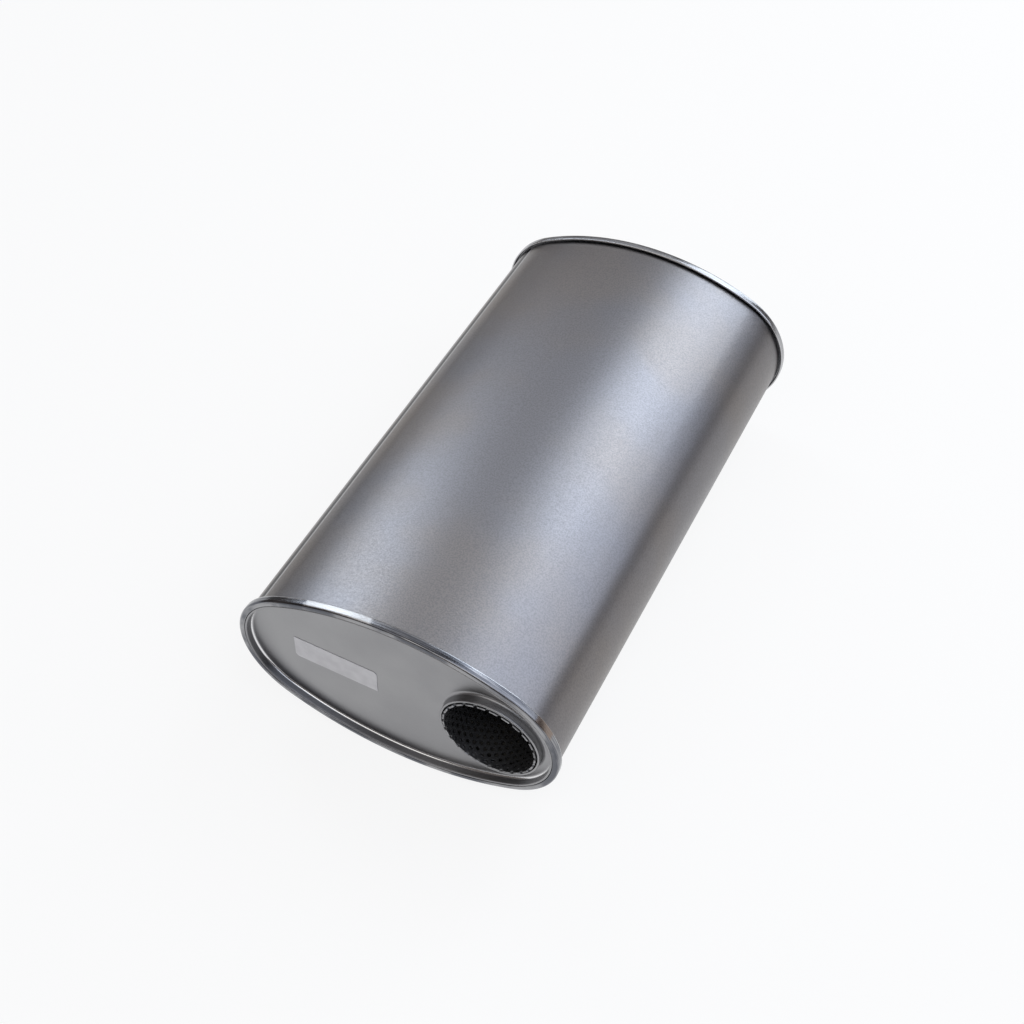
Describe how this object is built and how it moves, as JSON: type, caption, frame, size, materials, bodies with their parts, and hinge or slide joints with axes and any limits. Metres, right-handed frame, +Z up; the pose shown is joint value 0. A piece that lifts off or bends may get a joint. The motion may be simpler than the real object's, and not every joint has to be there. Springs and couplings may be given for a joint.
{
  "type": "muffler",
  "caption": "Oval absorption muffler with curled rims, pressed end plates and a perforated tube that enters off centre and leaves on the centre line.",
  "frame": {"origin": "middle of the footprint, at the lowest point of the rims, with the muffler lying on its wide side", "axes": "+Y along the body from the offset mouth to the centred mouth, +X towards the narrow end that the offset mouth is nearer to, +Z up through the thickness"},
  "size_m": [0.17, 0.296, 0.103],
  "materials": {
    "shell_sheet": "satin aluminised",
    "plate_sheet": "matte",
    "tube_sheet": "satin",
    "wool": "matte fibres",
    "label": "satin"
  },
  "bodies": {
    "root": {"shell": "shell_sheet", "offset_end_plate": "plate_sheet", "centre_end_plate": "plate_sheet", "perforated_tube": "tube_sheet", "packing": "wool", "blank_label": "label"}
  },
  "joints": []
}
